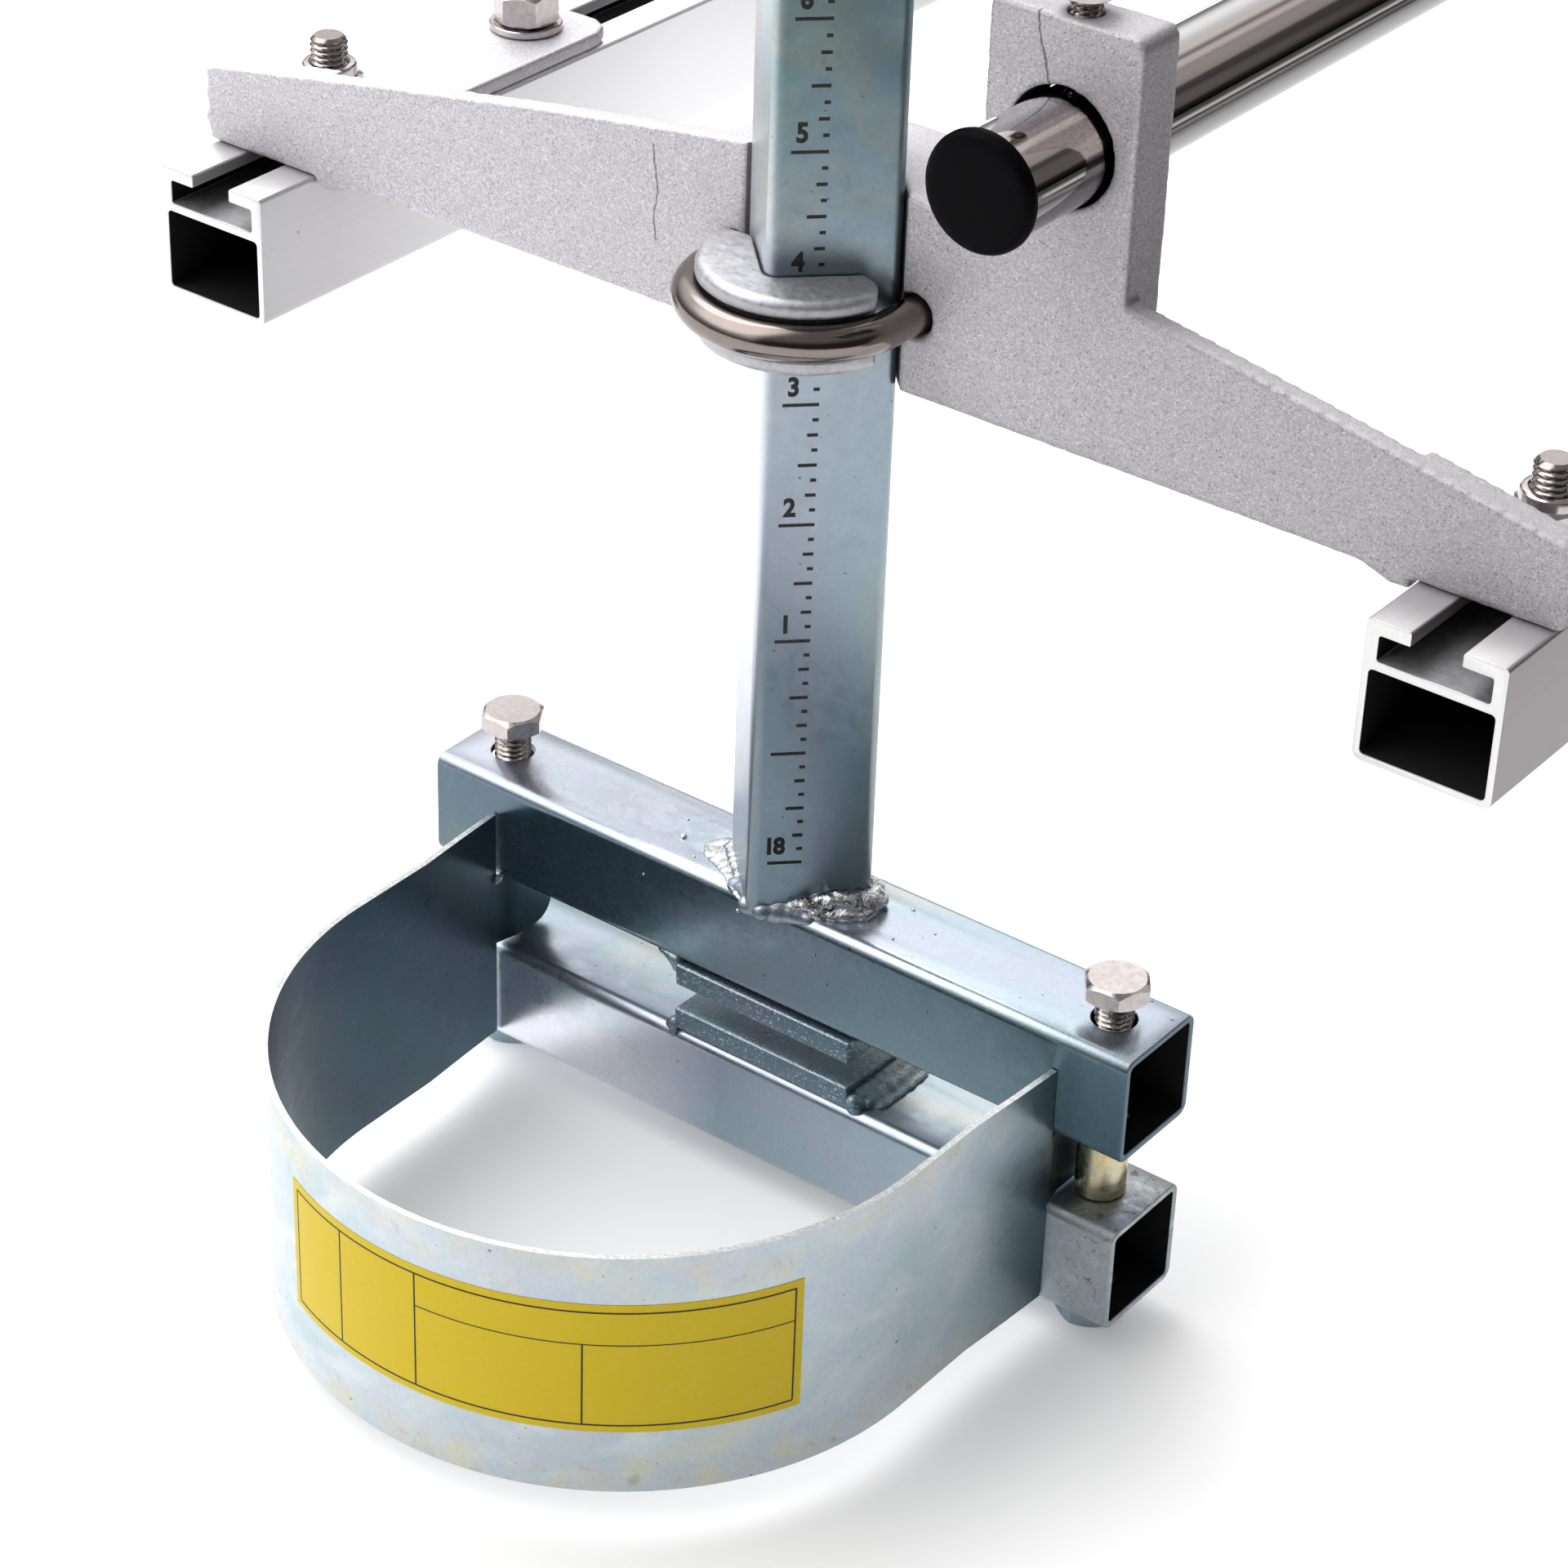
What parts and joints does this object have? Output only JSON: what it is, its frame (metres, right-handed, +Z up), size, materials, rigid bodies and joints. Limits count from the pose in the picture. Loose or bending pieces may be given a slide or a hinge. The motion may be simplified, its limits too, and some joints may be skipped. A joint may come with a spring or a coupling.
{
  "type": "chainsaw log cutting frame",
  "caption": "Chainsaw log cutting frame: slotted rails joined by cast end brackets, with sliding square posts, bar clamps, a nose guard and a handle tube.",
  "frame": {"origin": "centre of the footprint's bounding box, on the surface that the clamp nuts stand on", "axes": "+Z up along the posts, +Y along the rails from the nose guard's end to the motor's end, +X towards the handle tube's side"},
  "size_m": [0.3172, 0.7352, 0.417],
  "materials": {
    "zinc_steel": "bright zinc plate, satin",
    "cast_alloy": "fine rough as-cast grain",
    "rail_aluminium": "satin mill finish with sawn ends",
    "stainless_steel": "satin stainless",
    "chrome_tube": "mirror chrome",
    "yellow_zinc": "yellow zinc plate",
    "black_plastic": "matte moulded"
  },
  "bodies": {
    "rails": {"rail_left": "rail_aluminium", "rail_right": "rail_aluminium"},
    "near_bracket": {"near_bracket": "cast_alloy", "near_saddle": "stainless_steel", "near_u_bolt": "stainless_steel", "near_u_bolt_washer_left": "stainless_steel", "near_u_bolt_washer_right": "stainless_steel", "near_u_bolt_nut_left": "stainless_steel", "near_u_bolt_nut_right": "stainless_steel", "near_rail_bolt_1": "stainless_steel", "near_rail_bolt_2": "stainless_steel", "near_rail_bolt_3": "stainless_steel", "near_rail_bolt_4": "stainless_steel", "near_rail_nut_1": "stainless_steel", "near_rail_nut_2": "stainless_steel", "near_rail_nut_3": "stainless_steel", "near_rail_nut_4": "stainless_steel", "near_handle_bolt": "stainless_steel"},
    "near_post": {"near_post": "zinc_steel", "near_upper_tube": "zinc_steel", "near_upper_pad": "zinc_steel", "nose_guard": "zinc_steel"},
    "near_jaw": {"near_lower_tube": "zinc_steel", "near_lower_pad": "zinc_steel", "near_clamp_nut_left": "zinc_steel", "near_clamp_nut_right": "zinc_steel", "near_spacer_left": "yellow_zinc", "near_spacer_right": "yellow_zinc"},
    "near_clamp_bolt_left": {"near_clamp_bolt_left": "stainless_steel"},
    "near_clamp_bolt_right": {"near_clamp_bolt_right": "stainless_steel"},
    "far_bracket": {"far_bracket": "cast_alloy", "far_saddle": "stainless_steel", "far_u_bolt": "stainless_steel", "far_u_bolt_washer_left": "stainless_steel", "far_u_bolt_washer_right": "stainless_steel", "far_u_bolt_nut_left": "stainless_steel", "far_u_bolt_nut_right": "stainless_steel", "far_rail_bolt_1": "stainless_steel", "far_rail_bolt_2": "stainless_steel", "far_rail_bolt_3": "stainless_steel", "far_rail_bolt_4": "stainless_steel", "far_rail_nut_1": "stainless_steel", "far_rail_nut_2": "stainless_steel", "far_rail_nut_3": "stainless_steel", "far_rail_nut_4": "stainless_steel", "far_handle_bolt": "stainless_steel"},
    "far_post": {"far_post": "zinc_steel", "far_upper_tube": "zinc_steel", "far_upper_pad": "zinc_steel"},
    "far_jaw": {"far_lower_tube": "zinc_steel", "far_lower_pad": "zinc_steel", "far_clamp_nut_left": "zinc_steel", "far_clamp_nut_right": "zinc_steel", "far_spacer_left": "yellow_zinc", "far_spacer_right": "yellow_zinc"},
    "far_clamp_bolt_left": {"far_clamp_bolt_left": "stainless_steel"},
    "far_clamp_bolt_right": {"far_clamp_bolt_right": "stainless_steel"},
    "handle": {"handle_tube": "chrome_tube", "handle_cap_near": "black_plastic", "handle_cap_far": "black_plastic"}
  },
  "joints": [
    {"name": "near_bracket_slide", "type": "slide", "parent": "rails", "child": "near_bracket", "axis": [0, 1, 0], "range_m": [-0.01, 0.19]},
    {"name": "near_post_slide", "type": "slide", "parent": "near_bracket", "child": "near_post", "axis": [0, 0, 1], "range_m": [-0.185, 0.105]},
    {"name": "near_jaw_slide", "type": "slide", "parent": "near_post", "child": "near_jaw", "axis": [0, 0, 1], "range_m": [-0.0051, 0]},
    {"name": "near_clamp_bolt_left_turn", "type": "hinge", "parent": "near_jaw", "child": "near_clamp_bolt_left", "pos_m": [-0.0765, -0.2412, 0.072], "axis": [0, 0, 1], "range_deg": [-180, 180]},
    {"name": "near_clamp_bolt_right_turn", "type": "hinge", "parent": "near_jaw", "child": "near_clamp_bolt_right", "pos_m": [0.0765, -0.2412, 0.072], "axis": [0, 0, 1], "range_deg": [-180, 180]},
    {"name": "far_bracket_slide", "type": "slide", "parent": "rails", "child": "far_bracket", "axis": [0, 1, 0], "range_m": [-0.19, 0.01]},
    {"name": "far_post_slide", "type": "slide", "parent": "far_bracket", "child": "far_post", "axis": [0, 0, 1], "range_m": [-0.185, 0.105]},
    {"name": "far_jaw_slide", "type": "slide", "parent": "far_post", "child": "far_jaw", "axis": [0, 0, 1], "range_m": [-0.0051, 0]},
    {"name": "far_clamp_bolt_left_turn", "type": "hinge", "parent": "far_jaw", "child": "far_clamp_bolt_left", "pos_m": [-0.0765, 0.3366, 0.072], "axis": [0, 0, 1], "range_deg": [-180, 180]},
    {"name": "far_clamp_bolt_right_turn", "type": "hinge", "parent": "far_jaw", "child": "far_clamp_bolt_right", "pos_m": [0.0765, 0.3366, 0.072], "axis": [0, 0, 1], "range_deg": [-180, 180]},
    {"name": "handle_slide", "type": "slide", "parent": "rails", "child": "handle", "axis": [0, 1, 0], "range_m": [-0.01, 0.01]}
  ]
}
